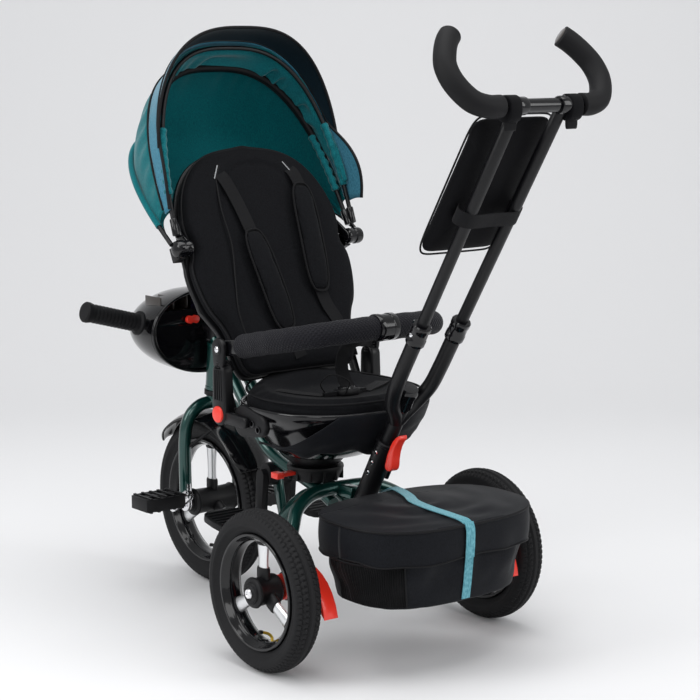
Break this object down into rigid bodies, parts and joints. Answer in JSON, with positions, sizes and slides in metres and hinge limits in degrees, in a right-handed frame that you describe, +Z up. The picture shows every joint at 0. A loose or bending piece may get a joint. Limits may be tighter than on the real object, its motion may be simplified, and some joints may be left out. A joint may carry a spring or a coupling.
{
  "type": "children's tricycle",
  "caption": "Push tricycle with a reversible swivel seat, folding canopy, safety bar, parent steering handle, storage bag and three air-filled wheels.",
  "frame": {"origin": "middle of the bounding box at ground level", "axes": "+Z up, -Y towards the front wheel, +X towards the rider's left"},
  "size_m": [0.498, 1.0096, 0.9677],
  "materials": {
    "frame_green": "deep metallic bottle green under a glossy clear coat",
    "bearing_plastic": "satin black moulded plastic",
    "gloss_shell": "high-gloss black moulded plastic",
    "tyre": "dark grey pneumatic tyre with block tread",
    "spoke_silver": "satin silver",
    "chrome": "bright plated steel",
    "black_tube": "satin black powder coat",
    "grip_rubber": "matt black rubber",
    "foam": "matt black foam",
    "red_plastic": "bright orange-red moulded plastic",
    "cushion_cloth": "matt black stretch fabric over foam with piping",
    "bag_nylon": "black woven nylon with a soft sheen",
    "canopy_teal": "heathered teal woven fabric",
    "visor_navy": "near-black navy fabric",
    "turquoise_ribbon": "turquoise melange webbing",
    "strap_web": "black webbing",
    "brass": "yellow valve cap"
  },
  "bodies": {
    "frame": {"head_tube": "frame_green", "head_bearing_ring": "bearing_plastic", "frame_rail_left": "frame_green", "frame_rail_right": "frame_green", "rear_bow": "frame_green", "keel_tube": "frame_green", "handle_socket": "bearing_plastic", "brake_hub_left": "bearing_plastic", "brake_hub_right": "bearing_plastic", "swivel_base": "bearing_plastic", "storage_bag": "bag_nylon"},
    "steering": {"fork": "frame_green", "front_fender": "gloss_shell", "handlebar": "black_tube", "handlebar_grip_left": "grip_rubber", "handlebar_grip_right": "grip_rubber", "console_housing": "gloss_shell"},
    "console_key": {"console_key": "red_plastic"},
    "front_wheel": {"front_wheel_tyre": "tyre", "front_wheel_rim": "gloss_shell", "front_wheel_spokes": "spoke_silver"},
    "cranks": {"crankshaft": "chrome"},
    "pedal_left": {"pedal_left": "bearing_plastic"},
    "pedal_right": {"pedal_right": "bearing_plastic"},
    "rear_wheel_left": {"rear_wheel_left_tyre": "tyre", "rear_wheel_left_rim": "gloss_shell", "rear_wheel_left_spokes": "spoke_silver"},
    "rear_wheel_right": {"rear_wheel_right_tyre": "tyre", "rear_wheel_right_rim": "gloss_shell", "rear_wheel_right_spokes": "spoke_silver"},
    "seat": {"seat_turntable": "bearing_plastic", "seat_shell": "gloss_shell", "seat_cushion": "cushion_cloth", "crotch_buckle": "bearing_plastic", "side_bracket_left": "bearing_plastic", "side_bracket_right": "bearing_plastic"},
    "seat_lock_lever": {"seat_lock_lever": "red_plastic"},
    "recline_button_left": {"recline_button_left": "red_plastic"},
    "recline_button_right": {"recline_button_right": "red_plastic"},
    "safety_bar": {"safety_bar": "foam"},
    "backrest": {"backrest_board": "bearing_plastic", "backrest_cushion": "cushion_cloth", "shoulder_pad_left": "cushion_cloth", "shoulder_pad_right": "cushion_cloth", "canopy_bow_rear": "black_tube", "canopy_panel_rear": "canopy_teal"},
    "canopy_middle": {"canopy_bow_middle": "black_tube", "canopy_panel_front": "canopy_teal"},
    "canopy_front": {"canopy_bow_front": "black_tube", "canopy_visor": "visor_navy"},
    "handle_lower": {"handle_yoke": "black_tube"},
    "handle_upper": {"handle_upper": "black_tube", "foam_grip_left": "foam", "foam_grip_right": "foam", "handle_pouch": "bag_nylon"},
    "handle_release_lever": {"handle_release_lever": "red_plastic"},
    "brake_pedal_left": {"brake_pedal_left": "red_plastic"},
    "brake_pedal_right": {"brake_pedal_right": "red_plastic"},
    "bag_lid": {"bag_lid": "bag_nylon"},
    "footrest": {"footrest": "bearing_plastic"}
  },
  "joints": [
    {"name": "steering_turn", "type": "hinge", "parent": "frame", "child": "steering", "pos_m": [0, -0.3099, 0.36], "axis": [0, 0.105, 0.9945], "range_deg": [-18, 18]},
    {"name": "front_wheel_spin", "type": "hinge", "parent": "steering", "child": "front_wheel", "pos_m": [0, -0.3239, 0.147], "axis": [1, 0, 0], "continuous": true},
    {"name": "cranks_spin", "type": "hinge", "parent": "steering", "child": "cranks", "pos_m": [0, -0.3239, 0.147], "axis": [1, 0, 0], "continuous": true},
    {"name": "pedal_left_spin", "type": "hinge", "parent": "cranks", "child": "pedal_left", "pos_m": [0.141, -0.27973, 0.1725], "axis": [1, 0, 0], "continuous": true},
    {"name": "pedal_right_spin", "type": "hinge", "parent": "cranks", "child": "pedal_right", "pos_m": [-0.141, -0.36807, 0.1215], "axis": [1, 0, 0], "continuous": true},
    {"name": "rear_wheel_left_spin", "type": "hinge", "parent": "frame", "child": "rear_wheel_left", "pos_m": [0.226, 0.1401, 0.125], "axis": [1, 0, 0], "continuous": true},
    {"name": "rear_wheel_right_spin", "type": "hinge", "parent": "frame", "child": "rear_wheel_right", "pos_m": [-0.226, 0.1401, 0.125], "axis": [1, 0, 0], "continuous": true},
    {"name": "seat_swivel", "type": "hinge", "parent": "frame", "child": "seat", "pos_m": [0, -0.0249, 0.2625], "axis": [0, 0, 1], "continuous": true},
    {"name": "seat_lock_press", "type": "hinge", "parent": "frame", "child": "seat_lock_lever", "pos_m": [0.034, -0.0249, 0.253], "axis": [0, 1, 0], "range_deg": [0, 10], "stiffness_Nm_per_rad": 0.3, "springref_deg": -11.46},
    {"name": "recline_button_left_press", "type": "slide", "parent": "seat", "child": "recline_button_left", "axis": [-1, 0, 0], "range_m": [0, 0.003], "stiffness_N_per_m": 300},
    {"name": "recline_button_right_press", "type": "slide", "parent": "seat", "child": "recline_button_right", "axis": [1, 0, 0], "range_m": [0, 0.003], "stiffness_N_per_m": 300},
    {"name": "backrest_recline", "type": "hinge", "parent": "seat", "child": "backrest", "pos_m": [0, -0.0679, 0.357], "axis": [1, 0, 0], "range_deg": [-12, 4]},
    {"name": "safety_bar_lift", "type": "hinge", "parent": "seat", "child": "safety_bar", "pos_m": [0, -0.0689, 0.462], "axis": [1, 0, 0], "range_deg": [0, 70]},
    {"name": "canopy_middle_fold", "type": "hinge", "parent": "backrest", "child": "canopy_middle", "pos_m": [0, -0.1449, 0.617], "axis": [1, 0, 0], "range_deg": [-12, 14], "deforming": ["canopy_panel_rear"]},
    {"name": "canopy_front_fold", "type": "hinge", "parent": "canopy_middle", "child": "canopy_front", "pos_m": [0, -0.1449, 0.617], "axis": [1, 0, 0], "range_deg": [-10.9, 12.7], "deforming": ["canopy_panel_front"]},
    {"name": "handle_turn", "type": "hinge", "parent": "frame", "child": "handle_lower", "pos_m": [0, 0.1081, 0.236], "axis": [0, 0.4899, 0.8718], "range_deg": [-18.1, 18.1]},
    {"name": "handle_extend", "type": "slide", "parent": "handle_lower", "child": "handle_upper", "axis": [0, 0.5244, 0.8515], "range_m": [-0.036, 0.012]},
    {"name": "handle_release", "type": "hinge", "parent": "frame", "child": "handle_release_lever", "pos_m": [0, 0.1566, 0.2703], "axis": [1, 0, 0], "range_deg": [-35, 0]},
    {"name": "brake_left_press", "type": "hinge", "parent": "frame", "child": "brake_pedal_left", "pos_m": [0.192, 0.1401, 0.125], "axis": [1, 0, 0], "range_deg": [-12, 0]},
    {"name": "brake_right_press", "type": "hinge", "parent": "frame", "child": "brake_pedal_right", "pos_m": [-0.192, 0.1401, 0.125], "axis": [1, 0, 0], "range_deg": [-12, 0]},
    {"name": "bag_lid_open", "type": "hinge", "parent": "frame", "child": "bag_lid", "pos_m": [0, 0.1901, 0.246], "axis": [1, 0, 0], "range_deg": [0, 60]},
    {"name": "footrest_fold", "type": "hinge", "parent": "frame", "child": "footrest", "pos_m": [0, -0.1319, 0.228], "axis": [1, 0, 0], "range_deg": [0, 50]},
    {"name": "console_key_press", "type": "slide", "parent": "steering", "child": "console_key", "axis": [0, -1, 0], "range_m": [0, 0.0025], "stiffness_N_per_m": 300}
  ],
  "couplings": [
    {"joint": "cranks_spin", "follows": "front_wheel_spin", "ratio": 1},
    {"joint": "canopy_front_fold", "follows": "canopy_middle_fold", "ratio": 0.9},
    {"joint": "handle_turn", "follows": "steering_turn", "ratio": 1}
  ]
}
